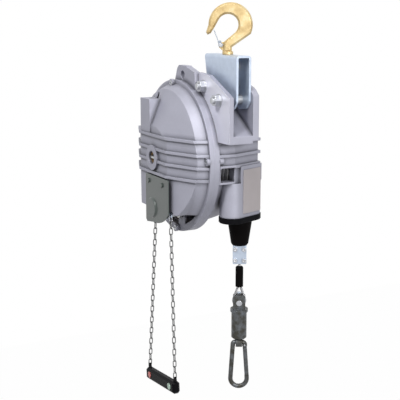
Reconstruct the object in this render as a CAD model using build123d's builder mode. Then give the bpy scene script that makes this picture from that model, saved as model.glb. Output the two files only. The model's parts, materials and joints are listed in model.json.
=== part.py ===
from build123d import *
import math
import os

# Tool balancer: a grooved drum wound by a spiral spring in a two-part cast housing.
# It hangs from a swivel hook, carries a tool on a wire rope, and is locked by a pair of pull chains.
# Lengths are millimetres. The origin is the centre of the hook's bowl, +Z is up, +Y runs along the
# drum axis towards the rope side, and +X points to the rope outlet.

os.makedirs("parts", exist_ok=True)

# Main lines, from the point where the drum axis crosses the flange joint
load_lead = 115.0
hook_row = 43.0
rope_row = 71.5
hanger_top = 201.0
hook_reach = 54.0
axle = Vector(-load_lead, -hook_row, -(hanger_top + hook_reach))
face_turn = 61.0

# Housing castings
flange_radius = 149.0
flange_half = 10.0
wall = 5.0
dome_rim = 141.0
shoulder_radius = 132.0
shoulder_depth = 28.0
face_radius = 61.0
face_depth = 57.0
belt_low = -101.0
lever_pocket = ((-20.0, 74.0), (-110.0, -96.0))
belt_high = 44.0
cup_rim = 138.0
cup_end = 118.0
cup_depth = 106.0
rib_width = 5.5
rib_proud = 4.0
spring_side_ribs = (44.0, 18.5, -5.0, -29.0)
drum_side_ribs = (41.0, 17.0, -4.0)
screw_circle = 143.0
screw_count = 4
screw_phase = 3.2
screw_radius = 3.0
screw_boss = 7.5

# Rope panel and outlet on the drum side
panel_x = 144.0
panel_bend = 44.0
panel_slant = 20.0
panel_low = -37.0
outlet_length = 94.0
outlet_width = 47.0
outlet_low = -104.0
label_top = -5.0
window_rows = (14.0, 43.0)
window_levels = (-33.0, -5.5)
outlet_plate_thick = 11.0
outlet_plate_lip = 1.5

# Ears, hanger and hook
ear_x = 185.0
front_ear_rows = (9.0, 18.0)
rear_ear_rows = (58.0, 70.0)
hanger_rows = (28.0, 58.0)
bolt_places = ((86.0, 142.0), (146.0, 120.5))
bolt_radius = 6.0
bolt_clear = 0.3
nut_flats = 19.0
nut_height = 10.0
washer_radius = 12.0
washer_thick = 2.0
hanger_sheet = 4.0
hanger_ends = (51.0, 176.0)
hanger_bend = 6.0
eye_spot = (13.0, 158.5)
eye_bore = 8.5
eye_thick = 12.0
bowl_radius = 19.3
hook_back = 40.5
hook_thick = 18.0
shank_radius = 7.0
collar_radius = 10.0
hook_nut_height = 13.0
hook_nut_flats = 16.0
hook_washer_thick = 3.0
latch_pivot = (-13.0, -36.5)
latch_tip = (-24.0, -8.6)
latch_pin_radius = 2.0
lug_half = 3.0

# Drum, spring and arbor
rope_radius = 2.5
drum_pitch_radius = load_lead
drum_taper = 0.08
drum_rows = (14.0, 94.0)
groove_step = 7.0
groove_count = 8
groove_clear = 0.3
drum_bore = 104.5
cassette_rows = (-24.0, 50.0)
cassette_radius = 100.0
cassette_sheet = 3.0
arbor_radius = 12.0
core_radius = 20.0
bush_outer = 16.0
run_clear = 0.05
ring_rows = (-18.0, -11.0)
ring_radius = 106.0
notch_count = 12
notch_angle = 12.0
notch_depth = 5.5
spring_coils = 7
spring_strip = 1.6

# Worm drive that winds the spring
module = 2.0
wheel_teeth = 24
wheel_rows = (-42.0, -34.0)
worm_pitch_radius = 10.0
worm_turns = 3
mesh_gap = 0.6
worm_head_top = 103.0

# Lock lever, chains and pull handle
lever_left = (-8.0, -119.0)
lever_right = (61.0, -104.0)
chain_row = -50.0
lever_thick = 3.0
lock_shaft_radius = 4.5
guard_row = -60.0
guard_sheet = 2.0
link_wire = 2.0
link_inner = 12.1
link_pitch = 12.0
link_inner_width = 4.0
link_count = 27
handle_left_x = -44.0
handle_right_x = 77.0
eye_hole = 2.6
handle_over = 6.0
handle_height = 24.0
handle_drop = 4.0
handle_width = 16.0

# Load end of the rope
buffer_top_radius = 23.0
buffer_low_radius = 16.0
buffer_length = 48.0
clamp_length = 36.5
clamp_width = 26.5
clamp_depth = 20.0
sheath_radius = 7.5
sheath_top = -206.0
sheath_low = -247.0
loop_centre = -275.5
loop_radius = 11.5
swivel_top = -298.0
swivel_low = -352.0
swivel_radius = 15.0
snap_wire = 4.5
snap_bar = -361.0
snap_half_top = 9.8
snap_half_low = 16.2
snap_bend = -437.0
run_gap = 0.3


def across(row, x=0.0, z=0.0):
    """Plane square to the drum axis at a row along it. Its sketch axes are X and Z, and it faces -Y."""
    return Plane(origin=axle + Vector(x, row, z), x_dir=(1, 0, 0), z_dir=(0, -1, 0))


def flat(level, x=0.0, row=0.0):
    """Horizontal plane at a level below or above the drum axis, with its sketch axes along X and Y."""
    return Plane(origin=axle + Vector(x, row, level))


def facing(level, x=load_lead, row=rope_row):
    """Upright plane that carries the hook's and the snap's flat side. Its sketch y axis is Z."""
    turn = math.radians(face_turn)
    normal = (math.sin(turn), -math.cos(turn), 0)
    return Plane(origin=axle + Vector(x, row, level), x_dir=(math.cos(turn), math.sin(turn), 0), z_dir=normal)


lengthwise = Plane(origin=axle, x_dir=(0, 1, 0), z_dir=(1, 0, 0))
drum_axis = Axis(tuple(axle), (0, 1, 0))


def turned_to(points, mode=Mode.ADD):
    """Turn an outline of (row, radius) points about the drum axis."""
    with BuildSketch(lengthwise) as outline:
        with BuildLine():
            Polyline(*points, close=True)
        make_face()
    revolve(outline.sketch, axis=drum_axis, mode=mode)


def round_bar(plane, radius, length, bore=0.0, mode=Mode.ADD):
    """Round bar or tube on a plane, along the plane's normal."""
    with BuildSketch(plane) as disc:
        Circle(radius)
        if bore:
            Circle(bore, mode=Mode.SUBTRACT)
    extrude(disc.sketch, amount=length, mode=mode)


def hex_bar(plane, flats, length, bore=0.0):
    """Hexagon bar on a plane, given across its flats."""
    with BuildSketch(plane) as hexagon:
        RegularPolygon(flats / 2, 6, major_radius=False)
        if bore:
            Circle(bore, mode=Mode.SUBTRACT)
    extrude(hexagon.sketch, amount=length)


def plate(plane, points, thick, mode=Mode.ADD):
    """Plate with a straight-sided outline on a plane."""
    with BuildSketch(plane) as outline:
        with BuildLine():
            Polyline(*points, close=True)
        make_face()
    extrude(outline.sketch, amount=thick, mode=mode)


def save(builder, name):
    """Label a finished piece and write it."""
    builder.part.label = name
    export_step(builder.part, f"parts/{name}.step")


# Spring-side housing
belt_plan = [
    (-dome_rim, 0),
    (-dome_rim, -flange_half),
    (-shoulder_radius, -shoulder_depth),
    (-face_radius, -face_depth),
    (face_radius, -face_depth),
    (shoulder_radius, -shoulder_depth),
    (dome_rim, -flange_half),
    (dome_rim, 0),
]


def can_outline(proud):
    """Round limit of the belt and its ribs, as (row, radius) points."""
    return [
        (0, 0),
        (0, dome_rim + proud),
        (-flange_half, dome_rim + proud),
        (-shoulder_depth, shoulder_radius + proud),
        (-face_depth - proud, shoulder_radius + proud),
        (-face_depth - proud, 0),
    ]


with BuildPart() as spring_side_belt:
    plate(flat(belt_low), belt_plan, belt_high - belt_low)
    turned_to(can_outline(0), mode=Mode.INTERSECT)

with BuildPart() as spring_side_rib_set:
    for level in spring_side_ribs:
        with BuildSketch(flat(level - rib_width / 2)):
            with BuildLine():
                Polyline(*belt_plan, close=True)
            make_face()
            offset(amount=rib_proud, kind=Kind.INTERSECTION)
        extrude(amount=rib_width)
    turned_to(can_outline(rib_proud), mode=Mode.INTERSECT)

face_angle = math.atan2(shoulder_radius - face_radius, face_depth - shoulder_depth)
inner_face_radius = face_radius - wall * (1 - math.cos(face_angle)) / math.sin(face_angle)
inner_shoulder = shoulder_radius - wall
inner_shoulder_depth = shoulder_depth - wall * (1 - math.sin(face_angle)) / math.cos(face_angle)
dome_inner = [
    (0, 0),
    (0, dome_rim - wall),
    (-flange_half, dome_rim - wall),
    (-inner_shoulder_depth, inner_shoulder),
    (-(face_depth - wall), inner_face_radius),
    (-(face_depth - wall), 0),
]
bush_seat = bush_outer - 1.0
bush_length = 6.0
shaft_boss_radius = 24.5
shaft_boss_proud = 5.0
shaft_mouth = 13.0
worm_x = -(module * wheel_teeth / 2 + worm_pitch_radius + mesh_gap)
worm_row = (wheel_rows[0] + wheel_rows[1]) / 2
worm_box = (-57.0, -13.0, 41.0, 112.0)
worm_box_row = -59.0
worm_stem = 6.5
guard_screw_spots = ((-14.0, -47.0), (48.0, -47.0))
worm_tip = worm_pitch_radius + 1.6
worm_root = worm_pitch_radius - 2.4
worm_foot_radius = 5.0
worm_foot_low = -36.0
thread_reach = worm_turns * math.pi * module / 2
lever_pivot = ((lever_left[0] + lever_right[0]) / 2, (lever_left[1] + lever_right[1]) / 2)
lock_lug_half = 10.0


def screw_spots(radius, first=0):
    """Places of the closing screws on their circle, as (x, z) pairs."""
    step = 360 / screw_count
    turns = [math.radians(screw_phase + step * k) for k in range(first, screw_count)]
    return [(radius * math.cos(turn), radius * math.sin(turn)) for turn in turns]


screw_boss_length = 6.0
head_radius = 5.0
with BuildPart() as spring_side_housing:
    turned_to(
        [
            (0, 0),
            (0, flange_radius),
            (-flange_half, flange_radius),
            (-flange_half, dome_rim),
            (-shoulder_depth, shoulder_radius),
            (-face_depth, face_radius),
            (-face_depth, 0),
        ]
    )
    add(spring_side_belt.part)
    add(spring_side_rib_set.part)
    with BuildSketch(flat(worm_box[2])):
        with Locations(((worm_box[0] + worm_box[1]) / 2, worm_box_row / 2)):
            Rectangle(worm_box[1] - worm_box[0], -worm_box_row)
    extrude(amount=worm_box[3] - worm_box[2])
    plate(
        across(-flange_half),
        [(-160, -160), (160, -160), (160, belt_low), (-160, belt_low)],
        60,
        mode=Mode.SUBTRACT,
    )
    for x, z in screw_spots(screw_circle):
        round_bar(across(-flange_half, x, z), screw_boss, screw_boss_length)
    turned_to(dome_inner, mode=Mode.SUBTRACT)
    # Bush seat of the arbor, and the mouth that shows its end
    round_bar(across(-face_depth + wall + 2), shaft_boss_radius - 4, wall + 2)
    round_bar(across(-face_depth), shaft_boss_radius, shaft_boss_proud)
    round_bar(across(-face_depth + wall + 2), bush_seat, bush_length, mode=Mode.SUBTRACT)
    round_bar(across(-face_depth + wall + 2), shaft_mouth, 20, mode=Mode.SUBTRACT)
    # Lower bearing of the worm, then its bores
    round_bar(flat(worm_foot_low, worm_x, worm_row), worm_foot_radius + 5, 14)
    with BuildSketch(flat(worm_foot_low)):
        with Locations((worm_x, (worm_row - face_depth + wall) / 2)):
            Rectangle(2 * worm_foot_radius, worm_row + face_depth - wall)
    extrude(amount=14)
    round_bar(flat(worm_foot_low + 2, worm_x, worm_row), worm_foot_radius + run_clear, 20, mode=Mode.SUBTRACT)
    round_bar(flat(-20, worm_x, worm_row), worm_tip + 1.2, worm_box[2] + 20, mode=Mode.SUBTRACT)
    round_bar(flat(worm_box[2] - 1, worm_x, worm_row), worm_stem + run_clear, 80, mode=Mode.SUBTRACT)
    round_bar(flat(worm_head_top - 10.5, worm_x, worm_row), worm_stem + 4, 30, mode=Mode.SUBTRACT)
    # Pocket for the lever, and the lug that carries the lock shaft behind the guard plate
    with BuildSketch(across(-44)):
        with Locations((sum(lever_pocket[0]) / 2, sum(lever_pocket[1]) / 2)):
            Rectangle(lever_pocket[0][1] - lever_pocket[0][0], lever_pocket[1][1] - lever_pocket[1][0])
    extrude(amount=20, mode=Mode.SUBTRACT)
    plate(
        across(-face_depth + wall),
        [
            (lever_pivot[0] - lock_lug_half, lever_pivot[1] - lock_lug_half),
            (lever_pivot[0] + lock_lug_half, lever_pivot[1] - lock_lug_half),
            (lever_pivot[0] + lock_lug_half + 4, belt_low + 14),
            (lever_pivot[0] - lock_lug_half - 4, belt_low + 14),
        ],
        wall,
    )
    # Inner web that carries the lock shaft's other end
    plate(
        across(-3),
        [
            (lever_pivot[0] - lock_lug_half, lever_pivot[1] + 5.5),
            (lever_pivot[0] + lock_lug_half, lever_pivot[1] + 5.5),
            (lever_pivot[0] + lock_lug_half + 4, -132),
            (lever_pivot[0] - lock_lug_half - 4, -138),
        ],
        7,
    )
    # Seats of the guard plate
    for x, z in guard_screw_spots:
        round_bar(across(-face_depth + 1, x, z), 7, -face_depth + 1 - guard_row)
        round_bar(across(-face_depth + wall + 1, x, z), 2.5 + run_clear, 20, mode=Mode.SUBTRACT)
    round_bar(across(0, *lever_pivot), lock_shaft_radius + run_clear, 70, mode=Mode.SUBTRACT)
    # Closing screw holes with seats for their heads
    for x, z in screw_spots(screw_circle):
        round_bar(across(0, x, z), screw_radius + 0.3, 40, mode=Mode.SUBTRACT)
        round_bar(across(-flange_half - 1, x, z), head_radius + 0.5, 40, mode=Mode.SUBTRACT)
save(spring_side_housing, "spring_side_housing")

# Drum-side housing
slant = math.radians(panel_slant)
panel_end_x = panel_x - (cup_depth - panel_bend) * math.tan(slant)
panel_plan = [
    (panel_x - 54, flange_half),
    (panel_x, flange_half),
    (panel_x, panel_bend),
    (panel_end_x, cup_depth),
    (panel_end_x - 40, cup_depth),
]
cup_slope = (cup_rim - cup_end) / (cup_depth - flange_half)


def cup_radius(row):
    """Outer radius of the drum-side cup at a row along the drum axis."""
    return cup_rim - (row - flange_half) * cup_slope


ear_outline = [
    (60, 166),
    (103, 163),
    (145, 145),
    (ear_x, 127),
    (ear_x, 43),
    (110, 43),
    (60, 100),
]
rear_outline = [
    (74, 161),
    (103, 163),
    (150, 149),
    (172, 141),
    (ear_x, 130),
    (ear_x, 48),
    (110, 48),
    (60, 100),
]
roof_outline = [(102, 111), (ear_x, 57), (ear_x, 43), (110, 43)]
lug_top = 177.0
eye_outline = [
    (-23, 125),
    (-23, 144),
    (-11, lug_top - 6),
    (-4, lug_top),
    (27, lug_top),
    (34, lug_top - 3),
    (64, 166),
    (70, 100),
]
shaft_pocket = 9.0
label_thick = 12.0
label_length = 59.0
label_shift = 5.5

with BuildPart() as drum_side_housing:
    turned_to(
        [
            (0, 0),
            (0, flange_radius),
            (flange_half, flange_radius),
            (flange_half, cup_rim),
            (cup_depth - 9, cup_radius(cup_depth - 9)),
            (cup_depth, cup_end - 9),
            (cup_depth, 0),
        ]
    )
    plate(flat(panel_low), panel_plan, belt_high + 4 - panel_low)
    for level in drum_side_ribs:
        with BuildSketch(flat(level - rib_width / 2)):
            with BuildLine():
                Polyline(*panel_plan, close=True)
            make_face()
            offset(amount=rib_proud, kind=Kind.INTERSECTION)
            with Locations((panel_x, (flange_half - rib_proud) / 2)):
                Rectangle(2 * panel_x, flange_half + rib_proud, mode=Mode.SUBTRACT)
        extrude(amount=rib_width)
    # Rope outlet with the flat side that takes the name plate
    with BuildSketch(flat(outlet_low, load_lead, rope_row)):
        SlotOverall(outlet_length, outlet_width, rotation=90 + panel_slant)
    extrude(amount=panel_low - outlet_low)
    with BuildSketch(flat(panel_low, load_lead, rope_row)):
        with Locations(Rotation(0, 0, 90 + panel_slant) * Pos(label_shift, -(outlet_width - label_thick) / 2)):
            Rectangle(label_length, label_thick)
    extrude(amount=label_top - panel_low)
    # Ears, the roof between them, and the safety eye
    plate(across(front_ear_rows[1]), ear_outline, front_ear_rows[1] - front_ear_rows[0])
    plate(across(rear_ear_rows[1]), rear_outline, rear_ear_rows[1] - rear_ear_rows[0])
    plate(across(rear_ear_rows[0]), roof_outline, rear_ear_rows[0] - front_ear_rows[1])
    for x, z in bolt_places:
        round_bar(across(hanger_rows[0], x, z), washer_radius, hanger_rows[0] - front_ear_rows[1])
    plate(across(eye_thick), eye_outline, eye_thick)
    for x, z in screw_spots(screw_circle):
        round_bar(across(flange_half + 8, x, z), screw_boss, 8)
    # Shaft boss on the closed end
    round_bar(across(cup_depth + 6), 26, 10)
    turned_to(
        [
            (0, 0),
            (0, cup_rim - wall),
            (flange_half, cup_rim - wall),
            (cup_depth - wall - 5, cup_radius(cup_depth - wall - 5) - wall),
            (cup_depth - wall, cup_end - wall - 6),
            (cup_depth - wall, 0),
        ],
        mode=Mode.SUBTRACT,
    )
    with BuildSketch(flat(outlet_low, load_lead, rope_row)):
        SlotOverall(outlet_length - 2 * wall, outlet_width - 2 * wall, rotation=90 + panel_slant)
    extrude(amount=panel_low - wall - outlet_low, mode=Mode.SUBTRACT)
    # Passage from the outlet up to the drum
    with BuildSketch(flat(outlet_low, load_lead, rope_row)):
        SlotOverall(60, 18, rotation=90 + panel_slant)
    extrude(amount=-outlet_low, mode=Mode.SUBTRACT)
    window_height = window_levels[1] - window_levels[0]
    with BuildSketch(flat(window_levels[0])):
        with Locations((panel_x, (window_rows[0] + window_rows[1]) / 2)):
            Rectangle(50, window_rows[1] - window_rows[0])
    extrude(amount=window_height, mode=Mode.SUBTRACT)
    round_bar(across(cup_depth - wall + shaft_pocket), bush_seat, 40, mode=Mode.SUBTRACT)
    round_bar(across(front_ear_rows[1] + 1, *eye_spot), eye_bore, front_ear_rows[1] + 2, mode=Mode.SUBTRACT)
    for x, z in bolt_places:
        round_bar(across(rear_ear_rows[1] + 1, x, z), bolt_radius + bolt_clear, 80, mode=Mode.SUBTRACT)
    for x, z in screw_spots(screw_circle):
        round_bar(across(flange_half + 5, x, z), screw_radius + run_clear, 20, mode=Mode.SUBTRACT)
save(drum_side_housing, "drum_side_housing")

with BuildPart() as closing_screws:
    for x, z in screw_spots(screw_circle):
        round_bar(across(flange_half + 4, x, z), screw_radius, 2 * flange_half + 5)
        round_bar(across(-flange_half - 1, x, z), head_radius, 5)
        with BuildSketch(across(-flange_half - 3, x, z)):
            RegularPolygon(2.5, 6, major_radius=False)
        extrude(amount=5, mode=Mode.SUBTRACT)
save(closing_screws, "closing_screws")

# Hanger: a bent strap between the ears, bolted through both
cheek_outline = [
    (hanger_ends[0], hanger_top),
    (hanger_ends[1], hanger_top),
    (hanger_ends[1], 118),
    (166, 105),
    (140, 102),
    (66, 134),
]
hanger_low = 95.0
hanger_height = hanger_top - hanger_low
hanger_gap = hanger_rows[1] - hanger_rows[0]
hanger_mid = (hanger_rows[0] + hanger_rows[1]) / 2
strap_plane = Plane(origin=axle + Vector(hanger_ends[0], 0, 0), x_dir=(0, 1, 0), z_dir=(1, 0, 0))
with BuildPart() as suspension_bracket:
    with BuildSketch(strap_plane):
        with Locations((hanger_mid, hanger_top - hanger_height / 2)):
            Rectangle(hanger_gap, hanger_height)
        with Locations((hanger_mid, hanger_top - hanger_sheet - hanger_height / 2)):
            Rectangle(hanger_gap - 2 * hanger_sheet, hanger_height, mode=Mode.SUBTRACT)
    extrude(amount=hanger_ends[1] - hanger_ends[0])
    bends = suspension_bracket.edges().filter_by(Axis.X).group_by(Axis.Z)
    fillet(bends[-1], hanger_bend)
    inner_bends = suspension_bracket.edges().filter_by(Axis.X).filter_by(
        lambda edge: abs(edge.center().Z - (axle.Z + hanger_top - hanger_sheet)) < 0.01
    )
    fillet(inner_bends, hanger_bend - hanger_sheet)
    plate(across(hanger_rows[1] + 1), cheek_outline, hanger_gap + 2, mode=Mode.INTERSECT)
    lower_corners = suspension_bracket.edges().filter_by(Axis.Y).filter_by(
        lambda edge: edge.center().Z < axle.Z + 140
    )
    fillet(lower_corners, 6)
    round_bar(flat(hanger_low, load_lead, hook_row), shank_radius + run_clear, 130, mode=Mode.SUBTRACT)
    for x, z in bolt_places:
        round_bar(across(hanger_rows[1] + 1, x, z), bolt_radius + bolt_clear, 60, mode=Mode.SUBTRACT)
save(suspension_bracket, "suspension_bracket")

bolt_tail = 4.0
front_seat = front_ear_rows[0] - washer_thick
with BuildPart() as bracket_bolts:
    for x, z in bolt_places:
        length = rear_ear_rows[1] + washer_thick - front_seat + nut_height + bolt_tail
        round_bar(across(rear_ear_rows[1] + washer_thick, x, z), bolt_radius, length)
        hex_bar(across(rear_ear_rows[1] + washer_thick + 7.5, x, z), nut_flats, 7.5)
save(bracket_bolts, "bracket_bolts")

with BuildPart() as bracket_nuts:
    for x, z in bolt_places:
        hex_bar(across(front_seat, x, z), nut_flats, nut_height, bolt_radius + run_clear)
save(bracket_nuts, "bracket_nuts")

with BuildPart() as bracket_washers:
    for x, z in bolt_places:
        for row in (front_ear_rows[0], rear_ear_rows[1] + washer_thick):
            round_bar(across(row, x, z), washer_radius, washer_thick, bolt_radius + run_clear)
save(bracket_washers, "bracket_washers")

with BuildPart() as bracket_spacers:
    for x, z in bolt_places:
        tube = hanger_gap - 2 * hanger_sheet
        round_bar(across(hanger_rows[1] - hanger_sheet, x, z), 9, tube, bolt_radius + run_clear)
save(bracket_spacers, "bracket_spacers")

# Swivel hook, forged in one piece with its shank
bowl = facing(-axle.Z, load_lead, hook_row)
collar_low = -hook_reach + run_gap
nut_top = -hook_reach - hanger_sheet - run_gap - hook_washer_thick
neck_half = 7.6
back_x = 5.0
throat_turn = 150.0
seat_turn = -49.0
heel_turn = -24.0


def around(centre_x, radius, turn):
    """Point on a circle in the hook's own plane."""
    angle = math.radians(turn)
    return (centre_x + radius * math.cos(angle), radius * math.sin(angle))


with BuildPart() as swivel_hook:
    with BuildSketch(bowl) as hook_outline:
        with BuildLine():
            Line((neck_half, collar_low + 4), (neck_half, -40.5))
            Line((neck_half, -40.5), around(back_x, hook_back, heel_turn))
            ThreePointArc(
                around(back_x, hook_back, heel_turn),
                around(back_x, hook_back, 80),
                around(back_x, hook_back, 180),
            )
            Polyline(
                around(back_x, hook_back, 180),
                (-40.0, -13.4),
                (-37.0, -18.0),
                (-31.5, -15.5),
                (-24.5, -4.5),
                around(0, bowl_radius, throat_turn),
            )
            ThreePointArc(
                around(0, bowl_radius, throat_turn),
                around(0, bowl_radius, 50),
                around(0, bowl_radius, seat_turn),
            )
            Polyline(
                around(0, bowl_radius, seat_turn),
                (-5.2, -29.4),
                (-neck_half, -33.0),
                (-neck_half, collar_low + 4),
                (neck_half, collar_low + 4),
            )
        make_face()
    extrude(amount=hook_thick / 2, both=True)
    rims = swivel_hook.edges().filter_by(lambda edge: abs(abs(edge.center().dot(bowl.z_dir)) - hook_thick / 2) < 0.01)
    chamfer(rims, 3.5)
    # Lug for the latch, in line with the neck
    with BuildSketch(bowl):
        with BuildLine():
            Polyline(
                (-neck_half + 2, -30.5),
                (latch_pivot[0], latch_pivot[1] + 4.5),
                (latch_pivot[0] - 4, latch_pivot[1]),
                (latch_pivot[0] - 3, latch_pivot[1] - 4.5),
                (-neck_half + 1, collar_low + 4),
                close=True,
            )
        make_face()
        with Locations(latch_pivot):
            Circle(latch_pin_radius + run_clear, mode=Mode.SUBTRACT)
    extrude(amount=lug_half, both=True)
    round_bar(Plane(origin=(0, 0, collar_low)), collar_radius, 5.5)
    shank_low = nut_top - hook_nut_height - 4
    round_bar(Plane(origin=(0, 0, shank_low)), shank_radius, collar_low - shank_low)
save(swivel_hook, "swivel_hook")

with BuildPart() as hook_washer:
    round_bar(Plane(origin=(0, 0, nut_top)), 9.0, hook_washer_thick, shank_radius + run_clear)
save(hook_washer, "hook_washer")

with BuildPart() as hook_nut:
    nut_low = Plane(origin=(0, 0, nut_top - hook_nut_height))
    hex_bar(nut_low, hook_nut_flats, hook_nut_height, shank_radius + run_clear)
save(hook_nut, "hook_nut")

latch_angle = math.degrees(math.atan2(latch_tip[1] - latch_pivot[1], latch_tip[0] - latch_pivot[0]))
latch_length = math.hypot(latch_tip[0] - latch_pivot[0], latch_tip[1] - latch_pivot[1])
latch_plane = Plane(bowl.location * Pos(latch_pivot[0], latch_pivot[1]) * Rotation(0, 0, latch_angle))
latch_sheet = 1.4
latch_inside = lug_half + run_gap
with BuildPart() as hook_latch:
    with BuildSketch(latch_plane):
        Circle(4.2)
        with Locations((4, 0)):
            Rectangle(8, 6)
        Circle(latch_pin_radius + run_clear, mode=Mode.SUBTRACT)
    extrude(amount=latch_inside + latch_sheet, both=True)
    with BuildSketch(latch_plane):
        with Locations((0, 0)):
            Rectangle(18, 12)
    extrude(amount=latch_inside, both=True, mode=Mode.SUBTRACT)
    with BuildSketch(latch_plane):
        with Locations(((latch_length + 6.2) / 2, 1.6)):
            Rectangle(latch_length - 6.2, latch_sheet)
    extrude(amount=latch_inside + latch_sheet, both=True)
save(hook_latch, "hook_latch")

with BuildPart() as latch_pin:
    with BuildSketch(latch_plane):
        Circle(latch_pin_radius)
    extrude(amount=latch_inside + latch_sheet + run_gap, both=True)
    for side in (-1, 1):
        with BuildSketch(latch_plane.offset(side * (latch_inside + latch_sheet + run_gap + 0.7))):
            Circle(latch_pin_radius + 1.2)
        extrude(amount=0.7, both=True)
save(latch_pin, "latch_pin")

# Arbor, its core and its bushes
arbor_rows = (-face_depth + 3, cup_depth - wall + shaft_pocket - 1)
with BuildPart() as arbor:
    round_bar(across(arbor_rows[1]), arbor_radius, arbor_rows[1] - arbor_rows[0])
    with BuildSketch(across(arbor_rows[0])):
        Rectangle(2 * arbor_radius - 3, 4)
    extrude(amount=5)
save(arbor, "arbor")

with BuildPart() as arbor_bushes:
    round_bar(across(-face_depth + wall + 2), bush_seat, bush_length, arbor_radius + run_clear)
    round_bar(across(cup_depth - wall + shaft_pocket), bush_seat, shaft_pocket, arbor_radius + run_clear)
save(arbor_bushes, "arbor_bushes")

core_rows = (cassette_rows[0] + 6, cassette_rows[1] - 6)
with BuildPart() as spring_core:
    round_bar(across(core_rows[1]), core_radius, core_rows[1] - core_rows[0], arbor_radius + 0.02)
save(spring_core, "spring_core")

pitch_radius = module * wheel_teeth / 2
tooth_tip = pitch_radius + 1.6
tooth_root = pitch_radius - 2.6
with BuildPart() as worm_wheel:
    with BuildSketch(across(wheel_rows[1])):
        Circle(tooth_root)
        with PolarLocations(0, wheel_teeth):
            with Locations(((tooth_tip + tooth_root) / 2 - 0.5, 0)):
                Trapezoid(3.1, tooth_tip - tooth_root + 1, 80, rotation=-90)
        Circle(arbor_radius + 0.02, mode=Mode.SUBTRACT)
    extrude(amount=wheel_rows[1] - wheel_rows[0])
save(worm_wheel, "worm_wheel")

thread_pitch = math.pi * module
with BuildPart() as worm:
    start = Vector(worm_x, worm_row, -thread_reach)
    round_bar(flat(-thread_reach - 3, worm_x, worm_row), worm_root, 2 * thread_reach + 6)
    with BuildLine() as thread_path:
        Helix(thread_pitch, 2 * thread_reach, worm_root + 2, center=tuple(axle + start))
    with BuildSketch(Plane(origin=axle + start, x_dir=(1, 0, 0), z_dir=(0, -1, 0))):
        with Locations((worm_root + 1.7, 0)):
            Trapezoid(3.0, 4.6, 80, rotation=-90)
    sweep(path=thread_path.line, is_frenet=True)
    round_bar(flat(thread_reach + 2, worm_x, worm_row), worm_stem, worm_head_top - thread_reach - 2)
    round_bar(flat(worm_head_top - 10, worm_x, worm_row), worm_stem + 3, 10)
    foot_low = worm_foot_low + 2 + run_gap
    round_bar(flat(foot_low, worm_x, worm_row), worm_foot_radius, -thread_reach - foot_low)
    with BuildSketch(flat(worm_head_top - 6, worm_x, worm_row)):
        RegularPolygon(4, 6, major_radius=False)
    extrude(amount=8, mode=Mode.SUBTRACT)
save(worm, "worm")

with BuildPart() as worm_lock_screw:
    screw_plane = Plane(
        origin=axle + Vector(worm_box[0], worm_box_row + 12, 95), x_dir=(0, 1, 0), z_dir=(-1, 0, 0)
    )
    hex_bar(screw_plane, 13, 6)
    round_bar(screw_plane.offset(6), 4, 4)
save(worm_lock_screw, "worm_lock_screw")


# Drum with circular rope grooves on a slight cone
def drum_pitch(row):
    """Radius of the rope's centre on the drum at a row."""
    return drum_pitch_radius + (rope_row - row) * drum_taper


hub_rows = (drum_rows[1] - 12, drum_rows[1] + 4)
hub_radius = bush_outer + 7
web_thick = 8.0
crest = 0.5
groove_rows = [rope_row + groove_step - groove_step * k for k in range(groove_count)]
groove_depth = rope_radius + groove_clear
with BuildPart() as drum:
    with BuildSketch(lengthwise):
        with BuildLine():
            Polyline(
                (drum_rows[0], drum_bore),
                (drum_rows[0], drum_pitch(drum_rows[0]) + crest),
                (drum_rows[1], drum_pitch(drum_rows[1]) + crest),
                (drum_rows[1], hub_radius),
                (hub_rows[1], hub_radius),
                (hub_rows[1], bush_outer),
                (hub_rows[0], bush_outer),
                (hub_rows[0], hub_radius),
                (drum_rows[1] - web_thick, hub_radius),
                (drum_rows[1] - web_thick, drum_bore),
                close=True,
            )
        make_face()
        for row in groove_rows:
            with Locations((row, drum_pitch(row) + (crest + 0.2 - groove_depth) / 2)):
                Trapezoid(groove_step - 0.6, groove_depth + crest + 0.2, 70, rotation=180, mode=Mode.SUBTRACT)
    revolve(axis=drum_axis)
save(drum, "drum")

with BuildPart() as rope_winding:
    for row in groove_rows[2:6]:
        with BuildSketch(lengthwise):
            with Locations((row, drum_pitch(row))):
                RegularPolygon(rope_radius, 6)
        revolve(axis=drum_axis)
save(rope_winding, "rope_winding")

cassette_hub = 22.0
cassette_lip = drum_pitch(drum_rows[0]) - 0.6
with BuildPart() as spring_cassette:
    turned_to(
        [
            (cassette_rows[0], bush_outer),
            (cassette_rows[0] - 6, bush_outer),
            (cassette_rows[0] - 6, cassette_hub),
            (cassette_rows[0], cassette_hub),
            (cassette_rows[0], cassette_radius),
            (drum_rows[0] - cassette_sheet, cassette_radius),
            (drum_rows[0] - cassette_sheet, cassette_lip),
            (drum_rows[0], cassette_lip),
            (drum_rows[0], cassette_radius),
            (cassette_rows[1] - cassette_sheet, cassette_radius),
            (cassette_rows[1] - cassette_sheet, cassette_radius - cassette_sheet),
            (cassette_rows[0] + cassette_sheet, cassette_radius - cassette_sheet),
            (cassette_rows[0] + cassette_sheet, bush_outer),
        ]
    )
save(spring_cassette, "spring_cassette")

with BuildPart() as cassette_cover:
    round_bar(across(cassette_rows[1]), cassette_radius, cassette_sheet, arbor_radius + 2)
save(cassette_cover, "cassette_cover")

cassette_screw_circle = (drum_bore + cassette_lip) / 2
with BuildPart() as cassette_screws:
    for k in range(6):
        turn = math.radians(30 + 60 * k)
        x = cassette_screw_circle * math.cos(turn)
        z = cassette_screw_circle * math.sin(turn)
        hex_bar(across(drum_rows[0] - cassette_sheet, x, z), 7, 3)
save(cassette_screws, "cassette_screws")

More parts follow.
